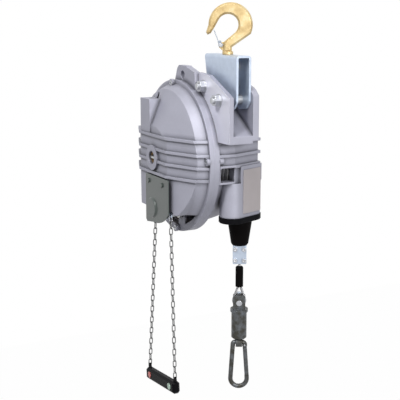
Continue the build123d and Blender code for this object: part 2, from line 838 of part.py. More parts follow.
with BuildPart() as drum_bushes:
    bush = hub_rows[1] - hub_rows[0]
    round_bar(across(hub_rows[1]), bush_outer, bush, arbor_radius + run_clear)
    round_bar(across(cassette_rows[0] + cassette_sheet), bush_outer, cassette_sheet + 6, arbor_radius + run_clear)
save(drum_bushes, "drum_bushes")

pawl_turn = -82.5
with BuildPart() as lock_ring:
    with BuildSketch(across(ring_rows[1])):
        Circle(ring_radius)
        for k in range(notch_count):
            notch_width = 2 * ring_radius * math.sin(math.radians(notch_angle / 2))
            with Locations(Rotation(0, 0, pawl_turn + 360 / notch_count * k) * Pos(ring_radius, 0)):
                Rectangle(2 * notch_depth, notch_width, mode=Mode.SUBTRACT)
        Circle(cassette_radius + 0.02, mode=Mode.SUBTRACT)
    extrude(amount=ring_rows[1] - ring_rows[0])
save(lock_ring, "lock_ring")

spring_first = core_radius + 3
spring_step = (cassette_radius - cassette_sheet - 2 * spring_strip - spring_first) / spring_coils


def spiral_side(start_radius):
    """Half circles that grow by half a step each, as (start, middle, end) points."""
    arcs = []
    for k in range(2 * spring_coils):
        radius = start_radius + k * spring_step / 2
        centre = (k % 2) * spring_step / 2
        side = 1 - 2 * (k % 2)
        arcs.append(((centre + side * radius, 0), (centre, side * radius), (centre - side * radius, 0)))
    return arcs


with BuildPart() as power_spring:
    with BuildSketch(across(core_rows[1] - 1)):
        with BuildLine():
            inner_side = spiral_side(spring_first)
            outer_side = spiral_side(spring_first + spring_strip)
            for arc in inner_side + outer_side:
                ThreePointArc(*arc)
            Line(inner_side[0][0], outer_side[0][0])
            Line(inner_side[-1][2], outer_side[-1][2])
        make_face()
    extrude(amount=core_rows[1] - core_rows[0] - 2)
save(power_spring, "power_spring")

# Outlet plate, rope guide, rubber buffer and name plate
plate_low = outlet_low - outlet_plate_thick
guide_radius = 10.0
rope_bore = rope_radius + 0.8
with BuildPart() as outlet_plate:
    with BuildSketch(flat(plate_low, load_lead, rope_row)):
        SlotOverall(
            outlet_length + 2 * outlet_plate_lip, outlet_width + 2 * outlet_plate_lip, rotation=90 + panel_slant
        )
        Circle(guide_radius + run_clear, mode=Mode.SUBTRACT)
    extrude(amount=outlet_plate_thick)
    chamfer(outlet_plate.edges().group_by(Axis.Z)[0].sort_by(SortBy.LENGTH)[-4:], 1.5)
save(outlet_plate, "outlet_plate")

with BuildPart() as rope_guide:
    round_bar(flat(plate_low, load_lead, rope_row), guide_radius, outlet_plate_thick)
    round_bar(flat(outlet_low, load_lead, rope_row), guide_radius + 4, 4)
    round_bar(flat(plate_low, load_lead, rope_row), rope_bore, 40, mode=Mode.SUBTRACT)
save(rope_guide, "rope_guide")

buffer_low = plate_low - buffer_length
rope_line = Axis(tuple(axle + Vector(load_lead, rope_row, 0)), (0, 0, 1))
with BuildPart() as rubber_buffer:
    with BuildSketch(facing(plate_low)):
        with BuildLine():
            Polyline(
                (rope_bore, 0),
                (buffer_top_radius, 0),
                (buffer_top_radius, -4),
                (buffer_low_radius + 0.8, 3.5 - buffer_length),
                (buffer_low_radius - 1.5, -buffer_length),
                (rope_bore, -buffer_length),
                close=True,
            )
        make_face()
    revolve(axis=rope_line)
save(rubber_buffer, "rubber_buffer")

name_plate_size = (label_length - 9, 84.0)
name_plate_thick = 0.8
side_normal = Vector(math.cos(slant), math.sin(slant), 0)
side_along = Vector(-math.sin(slant), math.cos(slant), 0)
name_plate_spot = axle + Vector(load_lead, rope_row, (outlet_low + label_top) / 2)
with BuildPart() as name_plate:
    with BuildSketch(
        Plane(
            origin=name_plate_spot + side_normal * (outlet_width / 2) + side_along * (label_shift + 1.5),
            x_dir=tuple(side_along),
            z_dir=tuple(side_normal),
        )
    ):
        RectangleRounded(name_plate_size[0], name_plate_size[1], 2)
    extrude(amount=name_plate_thick)
save(name_plate, "name_plate")

# Rope and load fittings
clamp_top = buffer_low - run_gap
clamp_low = clamp_top - clamp_length
with BuildPart() as rope:
    round_bar(flat(clamp_top, load_lead, rope_row), rope_radius, -clamp_top - run_gap)
save(rope, "rope")

with BuildPart() as rope_tail:
    round_bar(flat(sheath_low + 1, load_lead, rope_row), rope_radius, clamp_top - sheath_low - 1)
save(rope_tail, "rope_tail")

clamp_split = 0.6
clamp_screw_spots = [(x, z) for x in (-8.5, 8.5) for z in (-11, 11)]
clamp_middle = (clamp_top + clamp_low) / 2
for name, side in (("rope_clamp_front", 1), ("rope_clamp_back", -1)):
    with BuildPart() as rope_clamp:
        face = facing(clamp_middle)
        with BuildSketch(face):
            RectangleRounded(clamp_width, clamp_length, 2.5)
        extrude(amount=side * clamp_depth / 2)
        with BuildSketch(face):
            Rectangle(clamp_width + 2, clamp_length + 2)
        extrude(amount=side * clamp_split / 2, mode=Mode.SUBTRACT)
        with BuildSketch(face):
            with Locations(*clamp_screw_spots):
                Circle(2.5 + run_clear)
        extrude(amount=side * clamp_depth, mode=Mode.SUBTRACT)
        round_bar(flat(clamp_low - 1, load_lead, rope_row), rope_radius + run_clear, clamp_length + 2, mode=Mode.SUBTRACT)
    save(rope_clamp, name)

with BuildPart() as clamp_screws:
    face = facing(clamp_middle)
    for x, z in clamp_screw_spots:
        spot = Plane(origin=face.from_local_coords((x, z, 0)), x_dir=face.x_dir, z_dir=face.z_dir)
        round_bar(spot.offset(clamp_depth / 2), 4.2, 3.2)
        round_bar(spot.offset(-clamp_depth / 2 - 2), 2.5, clamp_depth + 2)
save(clamp_screws, "clamp_screws")

with BuildPart() as cable_sheath:
    round_bar(flat(sheath_low, load_lead, rope_row), sheath_radius, sheath_top - sheath_low)
    top_rim = cable_sheath.edges().group_by(Axis.Z)[-1]
    fillet(top_rim, sheath_radius - 3.5)
    round_bar(flat(sheath_low - 1, load_lead, rope_row), rope_radius + run_clear, 60, mode=Mode.SUBTRACT)
save(cable_sheath, "cable_sheath")


def touch_point(centre, radius, point, side):
    """Point where a line from a point touches a circle, on the given side."""
    dx = point[0] - centre[0]
    dy = point[1] - centre[1]
    turn = math.atan2(dy, dx) - side * math.acos(radius / math.hypot(dx, dy))
    return (centre[0] + radius * math.cos(turn), centre[1] + radius * math.sin(turn))


def round_wire(builder_line, radius):
    """Sweep a round wire along the line just drawn."""
    path = builder_line.line
    with BuildSketch(Plane(origin=path @ 0, z_dir=path % 0)) as section:
        Circle(radius)
    sweep(section.sketch, path=path)


loop_plane = facing(loop_centre)
loop_neck = (rope_radius + 0.1, sheath_low - loop_centre - 1.2)
loop_right = touch_point((0, 0), loop_radius, loop_neck, 1)
with BuildPart() as rope_loop:
    with BuildLine(loop_plane) as loop_path:
        Line(loop_neck, loop_right)
        ThreePointArc(loop_right, (0, -loop_radius), (-loop_right[0], loop_right[1]))
        Line((-loop_right[0], loop_right[1]), (-loop_neck[0], loop_neck[1]))
    round_wire(loop_path, rope_radius)
save(rope_loop, "rope_loop")

thimble_radius = loop_radius - rope_radius - run_gap
thimble_top = (3.0, 16.5)
thimble_right = touch_point((0, 0), thimble_radius, thimble_top, 1)
thimble_sheet = 1.6
eye_pin_radius = 3.5
eye_pin_level = loop_centre - thimble_radius + thimble_sheet + eye_pin_radius + run_gap
with BuildPart() as thimble:
    with BuildSketch(loop_plane):
        with BuildLine():
            Line(thimble_top, thimble_right)
            ThreePointArc(thimble_right, (0, -thimble_radius), (-thimble_right[0], thimble_right[1]))
            Line((-thimble_right[0], thimble_right[1]), (-thimble_top[0], thimble_top[1]))
            Line((-thimble_top[0], thimble_top[1]), thimble_top)
        make_face()
        with Locations((0, eye_pin_level - loop_centre)):
            Circle(eye_pin_radius + run_clear, mode=Mode.SUBTRACT)
    extrude(amount=4, both=True)
save(thimble, "thimble")

prong_inside = 4.6
prong_thick = 4.0
prong_width = 24.0
prong_top = -264.0
eye_flange_radius = 17.2
stem_low = -325.0
with BuildPart() as swivel_eye:
    prong_low = swivel_top + 1
    prong_height = prong_top - prong_low
    with BuildSketch(facing(prong_low + prong_height / 2)):
        RectangleRounded(prong_width, prong_height, 4)
    extrude(amount=prong_inside + prong_thick, both=True)
    with BuildSketch(facing(eye_pin_level)):
        with Locations((0, prong_low + prong_height - eye_pin_level)):
            Rectangle(40, 2 * (prong_height - 6))
    extrude(amount=prong_inside, both=True, mode=Mode.SUBTRACT)
    with BuildSketch(facing(eye_pin_level)):
        Circle(eye_pin_radius + run_clear)
    extrude(amount=20, both=True, mode=Mode.SUBTRACT)
    round_bar(flat(swivel_top + 0.3, load_lead, rope_row), eye_flange_radius, 6)
    round_bar(flat(stem_low, load_lead, rope_row), 5, swivel_top - stem_low + 1)
    round_bar(flat(stem_low, load_lead, rope_row), 9, 5)
save(swivel_eye, "swivel_eye")

with BuildPart() as eye_pin:
    with BuildSketch(facing(eye_pin_level)):
        Circle(eye_pin_radius)
    extrude(amount=prong_inside + prong_thick + 0.5, both=True)
    for side in (-1, 1):
        with BuildSketch(facing(eye_pin_level).offset(side * (prong_inside + prong_thick))):
            Circle(5.5)
        extrude(amount=side * 1.8)
save(eye_pin, "eye_pin")

snap_hole = snap_wire + 0.1
tongue_half = 6.2
tongue_radius = 10.0
with BuildPart() as swivel_body:
    round_bar(flat(swivel_low, load_lead, rope_row), swivel_radius, swivel_top - swivel_low)
    chamfer(swivel_body.edges().group_by(Axis.Z)[0], 2)
    bar_plane = facing(snap_bar)
    with BuildSketch(Plane(origin=bar_plane.origin, x_dir=bar_plane.z_dir, z_dir=bar_plane.x_dir)):
        Circle(tongue_radius)
    extrude(amount=tongue_half, both=True)
    with BuildSketch(Plane(origin=bar_plane.origin, x_dir=bar_plane.z_dir, z_dir=bar_plane.x_dir)):
        Circle(snap_hole)
    extrude(amount=30, both=True, mode=Mode.SUBTRACT)
    round_bar(flat(stem_low - run_gap, load_lead, rope_row), 9.4, 5 + 2 * run_gap, mode=Mode.SUBTRACT)
    round_bar(flat(stem_low, load_lead, rope_row), 5 + run_clear, 40, mode=Mode.SUBTRACT)
save(swivel_body, "swivel_body")

# Snap hook: bent wire with a hinged gate
snap_plane = facing(0)
snap_corner = 5.0
gate_pivot = (snap_half_top + 1.7, snap_bar - 5.5)
nose_level = -430.0
snap_touch = touch_point((0, snap_bend), snap_half_low, (-snap_half_top - 1.7, snap_bar), -1)
nose = (snap_half_low - 0.2, nose_level)
nose_touch = touch_point((0, snap_bend), snap_half_low, nose, 1)
with BuildPart() as snap_hook:
    with BuildLine(snap_plane) as snap_path:
        Line(nose, nose_touch)
        ThreePointArc(nose_touch, (0, snap_bend - snap_half_low), snap_touch)
        FilletPolyline(
            snap_touch,
            (-snap_half_top - 1.7, snap_bar),
            (snap_half_top + 1.7, snap_bar),
            gate_pivot,
            radius=snap_corner,
        )
    round_wire(snap_path, snap_wire)
    with BuildSketch(snap_plane):
        with Locations(gate_pivot):
            Circle(snap_wire + 0.4)
    extrude(amount=snap_wire, both=True)
    with BuildSketch(snap_plane):
        with Locations(gate_pivot):
            Circle(snap_wire + 0.9)
    extrude(amount=2.1, both=True, mode=Mode.SUBTRACT)
    with BuildSketch(snap_plane):
        with Locations(gate_pivot):
            Circle(1.5 + run_clear)
    extrude(amount=10, both=True, mode=Mode.SUBTRACT)
save(snap_hook, "snap_hook")

gate_length = math.hypot(nose[0] - gate_pivot[0], nose[1] - gate_pivot[1])
gate_top = snap_wire + 1.2
gate_turn = math.atan2(nose[1] - gate_pivot[1], nose[0] - gate_pivot[0])
gate_along = snap_plane.x_dir * math.cos(gate_turn) + Vector(0, 0, math.sin(gate_turn))
gate_origin = snap_plane.from_local_coords((gate_pivot[0], gate_pivot[1], 0))
with BuildPart() as snap_gate:
    rod = Plane(origin=gate_origin + gate_along * gate_top, z_dir=tuple(gate_along))
    round_bar(rod, snap_wire - 0.3, gate_length - gate_top - run_gap)
    with BuildSketch(Plane(origin=gate_origin, x_dir=tuple(gate_along), z_dir=tuple(snap_plane.z_dir))):
        Circle(3.6)
        with Locations((gate_top / 2 + 0.5, 0)):
            Rectangle(gate_top + 1, 6.4)
        Circle(1.5 + run_clear, mode=Mode.SUBTRACT)
    extrude(amount=1.8, both=True)
save(snap_gate, "snap_gate")

with BuildPart() as gate_pin:
    with BuildSketch(Plane(origin=gate_origin, x_dir=tuple(gate_along), z_dir=tuple(snap_plane.z_dir))):
        Circle(1.5)
    extrude(amount=snap_wire + 0.5, both=True)
save(gate_pin, "gate_pin")

# Guard plate with a pressed boss, and its screws
guard_left, guard_right, guard_top = -28.0, 76.0, -34.0
guard_low = -131.0
guard_round = ((guard_right, -99.0), (56.0, -115.0), (12.0, -126.0))
guard_boss_spot = (2.0, -99.0)
guard_boss_radius = 21.0
with BuildPart() as lock_guard_plate:
    with BuildSketch(across(guard_row)):
        with BuildLine():
            Polyline(
                guard_round[2],
                (guard_left + 5, guard_low),
                (guard_left, guard_low + 5),
                (guard_left, guard_top),
                (guard_right, guard_top),
                guard_round[0],
            )
            ThreePointArc(*guard_round)
        make_face()
    extrude(amount=guard_sheet)
    with BuildSketch(across(guard_row - guard_sheet, *guard_boss_spot)):
        Circle(guard_boss_radius)
    extrude(amount=3, taper=40)
    for x, z in guard_screw_spots:
        round_bar(across(guard_row + 1, x, z), 2.5 + run_clear, 10, mode=Mode.SUBTRACT)
save(lock_guard_plate, "lock_guard_plate")

with BuildPart() as guard_screws:
    for x, z in guard_screw_spots:
        round_bar(across(guard_row - guard_sheet, x, z), 4.6, 2.6)
        round_bar(across(guard_row + 7, x, z), 2.5, 9)
save(guard_screws, "guard_screws")

with BuildPart() as lock_lever:
    with BuildSketch(across(chain_row + lever_thick / 2)):
        for spot in (lever_left, lever_right):
            with BuildSketch() as arm:
                with Locations(spot):
                    Circle(5.2)
                with Locations(lever_pivot):
                    Circle(9)
                make_hull()
            add(arm.sketch)
        with Locations(lever_left, lever_right):
            Circle(eye_hole, mode=Mode.SUBTRACT)
        with Locations(lever_pivot):
            Circle(lock_shaft_radius + 0.02, mode=Mode.SUBTRACT)
    extrude(amount=lever_thick)
save(lock_lever, "lock_lever")

with BuildPart() as lock_shaft:
    round_bar(across(-2, *lever_pivot), lock_shaft_radius, -2 - guard_row - 0.5)
save(lock_shaft, "lock_shaft")

pawl_rows = (ring_rows[0] + 0.5, ring_rows[1] - 0.5)
with BuildPart() as lock_pawl:
    with BuildSketch(across(pawl_rows[1], *lever_pivot)):
        with BuildLine():
            Polyline((-19, 2), (-13.5, 4.5), (-4, 5.5), (2, -6), (-6, -6), (-17, -3), close=True)
        make_face()
        Circle(7.5)
        Circle(lock_shaft_radius + 0.02, mode=Mode.SUBTRACT)
    extrude(amount=pawl_rows[1] - pawl_rows[0])
save(lock_pawl, "lock_pawl")


# Pull chains: links turned a quarter turn from one to the next
def chain(top, bottom_x, name):
    """Taut chain from a hole in the lever down to its lower end. Returns the lower end's height."""
    span = (link_count - 1) * link_pitch + link_inner + link_wire
    first = Vector(top[0], chain_row, top[1] - 0.6)
    run_x = bottom_x - top[0]
    along = Vector(run_x, 0, -math.sqrt(span**2 - run_x**2)).normalized()
    across_link = Vector(0, 1, 0).cross(along)
    with BuildPart() as links:
        for k in range(link_count):
            centre = axle + first + along * ((link_inner + link_wire) / 2 + k * link_pitch)
            normal = across_link if k % 2 == 0 else Vector(0, 1, 0)
            with BuildSketch(Plane(origin=centre, x_dir=tuple(along), z_dir=tuple(normal))):
                with BuildSketch() as outer:
                    Rectangle(link_inner + 2 * link_wire, link_inner_width + 2 * link_wire)
                    chamfer(outer.vertices(), 2.4)
                add(outer.sketch)
                with BuildSketch() as inner:
                    Rectangle(link_inner, link_inner_width)
                    chamfer(inner.vertices(), 0.9)
                add(inner.sketch, mode=Mode.SUBTRACT)
            extrude(amount=link_wire / 2, both=True)
    save(links, name)
    return (first + along * span).Z


left_end = chain(lever_left, handle_left_x, "left_chain")
right_end = chain(lever_right, handle_right_x, "right_chain")

handle_left = Vector(handle_left_x, chain_row, left_end - 0.6)
handle_right = Vector(handle_right_x, chain_row, right_end - 0.6)
handle_dir = (handle_right - handle_left).normalized()
handle_span = (handle_right - handle_left).length
handle_plane = Plane(origin=axle + handle_left, x_dir=tuple(handle_dir), z_dir=(0, -1, 0))
bar_middle = (handle_span / 2, -handle_drop - handle_height / 2)
with BuildPart() as pull_handle:
    with BuildSketch(handle_plane):
        with Locations(bar_middle):
            Rectangle(handle_span + 2 * handle_over, handle_height)
    extrude(amount=handle_width / 2, both=True)
    chamfer(pull_handle.edges(), 4)
    for place_x in (0, handle_span):
        with BuildSketch(handle_plane):
            with Locations((place_x, 0)):
                Circle(5.2)
            with Locations((place_x, -handle_drop / 2 - 3)):
                Rectangle(10.4, handle_drop + 6)
            with Locations((place_x, 0)):
                Circle(eye_hole, mode=Mode.SUBTRACT)
        extrude(amount=lever_thick / 2, both=True)
save(pull_handle, "pull_handle")

mark_inset = 13.0
mark_radius = 6.5
for name, place_x in (("lock_mark", mark_inset), ("release_mark", handle_span - mark_inset)):
    with BuildPart() as mark:
        with BuildSketch(handle_plane.offset(handle_width / 2)):
            with Locations((place_x, bar_middle[1])):
                Circle(mark_radius)
        extrude(amount=0.8)
    save(mark, name)
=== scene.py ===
# %% [markdown]
# # A tool balancer, dressed for its portrait
# A spring balancer hangs a heavy tool on a wire rope. Its castings, hook, drum, chains and snap hook
# come from the CAD model as fixed solids, in metres. This lesson gives each of them its real finish and
# adds what a solid model leaves plain: round chain links, twisted wire rope, socket screws, and the light
# to see them in.

import json
import math

import bmesh
import bpy
from mathutils import Matrix, Vector


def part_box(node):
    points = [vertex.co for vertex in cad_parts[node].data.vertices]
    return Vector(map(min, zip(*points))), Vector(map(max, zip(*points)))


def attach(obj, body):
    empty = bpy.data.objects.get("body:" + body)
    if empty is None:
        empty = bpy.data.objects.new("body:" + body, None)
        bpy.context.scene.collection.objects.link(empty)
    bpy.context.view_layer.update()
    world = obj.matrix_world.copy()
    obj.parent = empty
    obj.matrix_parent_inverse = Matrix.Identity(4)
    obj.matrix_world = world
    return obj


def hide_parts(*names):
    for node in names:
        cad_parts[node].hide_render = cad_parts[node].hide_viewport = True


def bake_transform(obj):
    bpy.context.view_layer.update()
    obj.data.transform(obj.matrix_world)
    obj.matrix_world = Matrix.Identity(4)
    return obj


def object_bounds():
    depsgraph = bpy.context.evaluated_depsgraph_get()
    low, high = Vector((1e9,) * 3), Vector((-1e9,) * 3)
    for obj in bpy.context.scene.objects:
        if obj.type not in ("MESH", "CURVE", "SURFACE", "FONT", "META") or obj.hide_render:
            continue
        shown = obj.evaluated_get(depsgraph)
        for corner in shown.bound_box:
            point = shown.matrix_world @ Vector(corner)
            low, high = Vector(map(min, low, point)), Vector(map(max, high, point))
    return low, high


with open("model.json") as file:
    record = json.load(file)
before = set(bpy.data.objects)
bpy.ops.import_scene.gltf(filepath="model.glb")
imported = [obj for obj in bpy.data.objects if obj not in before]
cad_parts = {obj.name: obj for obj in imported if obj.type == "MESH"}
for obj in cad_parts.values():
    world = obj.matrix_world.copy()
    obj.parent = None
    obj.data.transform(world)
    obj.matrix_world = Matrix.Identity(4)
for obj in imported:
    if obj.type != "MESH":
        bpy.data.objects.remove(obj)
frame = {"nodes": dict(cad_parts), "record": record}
cad_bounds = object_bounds()
nodes = frame["nodes"]

# %% [markdown]
# ## Shader maths as plain Python
# A material graph is easier to read as a sum than as a web of boxes. `Wire` wraps one socket and turns
# each operator into a Math node, and `Finish` makes any other node from its type, settings and inputs.

# %% A socket with operators


class Wire:
    """One output socket. Adding or multiplying it adds the Math node that does so."""

    def __init__(self, finish, socket):
        self.finish = finish
        self.socket = socket

    def combine(self, operation, first, second):
        return self.finish.node("Math", {"operation": operation}, {0: first, 1: second})

    def __add__(self, other):
        return self.combine("ADD", self, other)

    def __sub__(self, other):
        return self.combine("SUBTRACT", self, other)

    def __rsub__(self, other):
        return self.combine("SUBTRACT", other, self)

    def __mul__(self, other):
        return self.combine("MULTIPLY", self, other)

    def __pow__(self, other):
        return self.combine("POWER", self, other)

    def over(self, limit):
        """1 where the value is above the limit, else 0."""
        return self.combine("GREATER_THAN", self, limit)

    __radd__ = __add__
    __rmul__ = __mul__


print("Wire joins sockets with + - * and **")

# %% A material that grows node by node


class Finish:
    """A material with one Principled shader, and one method that makes every other node."""

    def __init__(self, name):
        self.material = bpy.data.materials.new(name)
        self.material.use_nodes = True
        self.tree = self.material.node_tree
        self.shader = self.tree.nodes["Principled BSDF"]
        self.place = self.node("TexCoord", output="Object")

    def node(self, kind, settings=None, inputs=None, output=0):
        made = self.tree.nodes.new("ShaderNode" + kind)
        for setting, value in (settings or {}).items():
            if setting == "stops":
                ramp = made.color_ramp.elements
                for k, (position, colour) in enumerate(value):
                    stop = ramp[k] if k < 2 else ramp.new(position)
                    stop.position = position
                    stop.color = colour
            else:
                setattr(made, setting, value)
        for key, value in (inputs or {}).items():
            self.plug(made, key, value)
        return Wire(self, made.outputs[output])

    def plug(self, target, key, value):
        if isinstance(value, Wire):
            self.tree.links.new(value.socket, target.inputs[key])
        else:
            target.inputs[key].default_value = value

    def set(self, **values):
        """Set the shader's own sockets, with underscores for spaces."""
        for key, value in values.items():
            self.plug(self.shader, key.replace("_", " "), value)

    def noise(self, size, detail=2.0, roughness=0.5, place=None):
        """Cloudy pattern from 0 to 1 whose patches are about one size, in metres."""
        inputs = {"Vector": place or self.place, "Scale": 1 / size, "Detail": detail, "Roughness": roughness}
        return self.node("TexNoise", inputs=inputs)

    def coordinate(self, axis):
        """Where a point lies along X, Y or Z, in metres."""
        return self.node("SeparateXYZ", {}, {0: self.place}, output=axis)

    def mix(self, factor, first, second):
        """Colour between two colours."""
        settings = {"data_type": "RGBA"}
        return self.node("Mix", settings, {0: factor, 6: first, 7: second}, output=2)


def rgb(red, green, blue):
    return (red, green, blue, 1.0)


def scaled(colour, factor):
    """The same colour, darker or lighter, and never brighter than white."""
    return rgb(*[min(1.0, factor * part) for part in colour])


print("Finish makes a material and its nodes")

# %% [markdown]
# ## Soft edges without new geometry
# Every real edge is a little round, and that thin bright line is what makes metal look solid. Bevelling
# the solids would change them, so a Bevel node rounds the normals instead. Where the rounded normal and
# the true one differ there is an edge, and that difference also serves as a mask for polished wear.

# %% Rounded edges and worn corners
edge_begins, edge_is_full = 0.995, 0.80  # cosine of the angle between the two normals


def soft_edges(finish, radius):
    """Normals rounded at edges, and a mask that is bright there."""
    rounded = finish.node("Bevel", {"samples": 6}, {"Radius": radius}, output="Normal")
    true = finish.node("NewGeometry", output="Normal")
    agree = finish.node("VectorMath", {"operation": "DOT_PRODUCT"}, {0: rounded, 1: true}, output="Value")
    inputs = {"Value": agree, "From Min": edge_begins, "From Max": edge_is_full}
    return rounded, finish.node("MapRange", {}, inputs)


def bumped(finish, height, distance, normal):
    inputs = {"Height": height, "Distance": distance, "Normal": normal, "Strength": 1.0}
    return finish.node("Bump", {}, inputs, output="Normal")


print("edges are rounded in the shading")

# %% [markdown]
# ## Cast and blasted aluminium
# The housing halves are sand castings that have been shot-blasted and lacquered: an even silver grey
# with a fine pebbled skin, slightly darker clouds where the skin is rougher, and brighter corners. Inner
# corners get painted shade, found by an Ambient Occlusion node. The flat seat on the front ear is milled,
# so it shows clean and pale, and is painted brighter still as a painted highlight; its level along Y is
# enough to pick it out.

# %% Masks for the casting
ear_seat = -0.034
level_slack = 0.0007
crease_reach = 0.010


def faces_front(finish, level):
    """1 on flat faces that look towards -Y at one level of Y, in metres."""
    height = finish.coordinate("Y")
    facing = finish.node("SeparateXYZ", {}, {0: finish.node("TexCoord", output="Normal")}, output="Y")
    near = finish.node("Math", {"operation": "COMPARE"}, {0: height, 1: level, 2: level_slack})
    return near * (facing * -1.0).over(0.9)


def painted_crease_shade(finish):
    """Mask of inner corners, where the casting's colour is darkened as painted shade."""
    open_sky = finish.node("AmbientOcclusion", {"samples": 8}, {"Distance": crease_reach}, output="AO")
    return ((1.0 - open_sky) ** 0.9) * 1.5


print("creases are sought within", crease_reach * 1000, "mm")

# %% Cast alloy


def cast_alloy(name, colour, metal=0.30, grain=0.0011, depth=0.00010, edge_radius=0.0016):
    finish = Finish(name)
    normal, edge = soft_edges(finish, edge_radius)
    clouds = finish.noise(0.035, detail=4)
    pebbles = finish.noise(grain, detail=3, roughness=0.6)
    pores = finish.noise(0.0032, detail=2)
    base = finish.mix(clouds * 0.55 + pores * 0.25, scaled(colour, 0.80), scaled(colour, 1.16))
    base = finish.mix(edge * 0.45, base, scaled(colour, 1.5))
    # painted shade: inner corners darkened towards a sixth of the casting's colour
    base = finish.mix(painted_crease_shade(finish), base, scaled(colour, 0.16))
    # The milled seat is pale, and it is painted brighter still as a painted highlight for the light it
    # catches.
    seat_highlight = faces_front(finish, ear_seat)
    base = finish.mix(seat_highlight * 0.94, base, rgb(0.72, 0.72, 0.81))
    finish.set(
        Base_Color=base,
        Metallic=metal,
        Roughness=0.40 + clouds * 0.12 + pebbles * 0.10 - edge * 0.10 - seat_highlight * 0.12,
        Normal=bumped(finish, pebbles + pores * 0.8, depth, normal),
    )
    return finish.material


finishes = {"cast_alloy": cast_alloy("cast_alloy_finish", (0.385, 0.385, 0.455))}
print("cast alloy ready")

# %% [markdown]
# ## Plated and machined steel
# Zinc plating is smooth and bluish with a faint cloudy spangle, and machined parts keep fine tool lines.
# One recipe serves them all: two tones mixed by a cloud, and hairlines stretched along Z. Handled places are
# dull and dark on the real thing, and the arbor's sunk end gets painted shade, so a finish may take its own
# darkening mask.

# %% One recipe for plated metal
# Dark colour for real stains, and for painted shade on the arbor's sunk end.
stain_and_shade_colour = rgb(0.052, 0.05, 0.042)


def plated(name, low, high, roughness=0.28, metal=1.0, scratch=0.4, edge_radius=0.0007, stain_and_shade=None):
    """Plated or machined metal, with an optional function that gives a mask of darker places: real stains,
    and painted shade on the arbor's sunk end.
    """
    finish = Finish(name)
    normal, edge = soft_edges(finish, edge_radius)
    spangle = finish.noise(0.012, detail=5, roughness=0.65)
    stretched = finish.node("Mapping", {}, {"Vector": finish.place, "Scale": (1.0, 1.0, 0.08)})
    hairlines = finish.noise(0.0009, detail=2, place=stretched)
    base = finish.mix(spangle, rgb(*low), rgb(*high))
    base = finish.mix(edge * 0.35, base, scaled(high, 1.2))
    # Darker where the mask says so: real stains, and painted shade on the arbor's end.
    if stain_and_shade:
        base = finish.mix(stain_and_shade(finish), base, stain_and_shade_colour)
    finish.set(
        Base_Color=base,
        Metallic=metal,
        Roughness=roughness + spangle * 0.14 + hairlines * 0.10,
        Normal=bumped(finish, hairlines * scratch + spangle, 0.00003, normal),
    )
    return finish.material


print("plated metal recipe ready")

# %% Where the metal is dull, and where shade is painted
depth_of_swivel = 0.515
depth_of_clamp = 0.40
depth_of_hook_latch = 0.045
depth_of_chains = 0.37
chain_side = 0.06
arbor_end = -0.097


def handled_load(finish):
    """Mask of the swivel and snap hook, darkest, then the hook's latch and the rope clamp."""
    depth = finish.coordinate("Z") * -1.0
    swivel = depth.over(depth_of_swivel) * (0.42 + finish.noise(0.016, detail=5, roughness=0.6) * 0.72)
    clamp = depth.over(depth_of_clamp) * 0.16
    latch = (1.0 - depth.over(depth_of_hook_latch)) * 0.55
    return swivel + clamp + latch


def handled_chains(finish):
    """Mask of the pull chains, which hang low on the spring side and have gone dull."""
    low = (finish.coordinate("Z") * -1.0).over(depth_of_chains)
    outside = (finish.coordinate("Y") * -1.0).over(chain_side)
    return low * outside * 0.75


def painted_arbor_shade(finish):
    """Mask of the arbor's end face, which sits back in its boss and is darkened there as painted shade."""
    return faces_front(finish, arbor_end) * 0.95


print("stains begin", depth_of_clamp, "m below the hook's bowl")

# %% Plated, machined and wound steel
metals = {
    "zinc_steel": {
        "low": (0.44, 0.51, 0.62), "high": (0.62, 0.70, 0.83), "metal": 0.62, "stain_and_shade": handled_load,
    },
    "zinc_fasteners": {
        "low": (0.34, 0.35, 0.37), "high": (0.62, 0.63, 0.66), "roughness": 0.24, "stain_and_shade": handled_chains,
    },
    "machined_steel": {
        # painted shade on the arbor's end face, sunk in its boss
        "low": (0.46, 0.46, 0.46), "high": (0.60, 0.60, 0.59), "roughness": 0.30, "stain_and_shade": painted_arbor_shade,
    },
    "dark_steel": {"low": (0.045, 0.045, 0.05), "high": (0.11, 0.11, 0.12), "roughness": 0.36},
    "spring_steel": {"low": (0.08, 0.09, 0.12), "high": (0.20, 0.20, 0.24), "roughness": 0.30},
    "bronze": {"low": (0.42, 0.26, 0.12), "high": (0.62, 0.42, 0.20), "roughness": 0.32},
    "drum_alloy": {"low": (0.26, 0.26, 0.27), "high": (0.40, 0.40, 0.42), "roughness": 0.30},
    "wire_rope": {"low": (0.20, 0.20, 0.21), "high": (0.44, 0.44, 0.45), "roughness": 0.32},
}
for slot, look in metals.items():
    finishes[slot] = plated(slot + "_finish", **look)
print(len(finishes), "metal finishes so far")

# %% [markdown]
# ## Yellow chromate
# The forged hook is zinc plated and dipped in yellow chromate. The film drifts between gold, straw and a
# little pink where its thickness changes, so one cloud runs through a ramp of those tones. A second cloud
# gives the forging its soft dents.

# %% Gold film on the hook


def chromated(name, edge_radius=0.0012):
    finish = Finish(name)
    normal, edge = soft_edges(finish, edge_radius)
    film = finish.noise(0.022, detail=4, roughness=0.6)
    forge = finish.noise(0.006, detail=3)
    stops = [
        (0.30, rgb(0.44, 0.31, 0.14)),
        (0.50, rgb(0.60, 0.46, 0.23)),
        (0.62, rgb(0.67, 0.56, 0.34)),
        (0.72, rgb(0.60, 0.44, 0.27)),
        (0.82, rgb(0.52, 0.48, 0.25)),
    ]
    colour = finish.node("ValToRGB", {"stops": stops}, {"Fac": film})
    finish.set(
        Base_Color=finish.mix(edge * 0.5, colour, rgb(0.36, 0.25, 0.12)),
        Metallic=0.55,
        Roughness=0.34 + forge * 0.16,
        Normal=bumped(finish, forge, 0.00022, normal),
    )
    return finish.material


finishes["gold_chromate"] = chromated("gold_chromate_finish")
print("gold film ready")

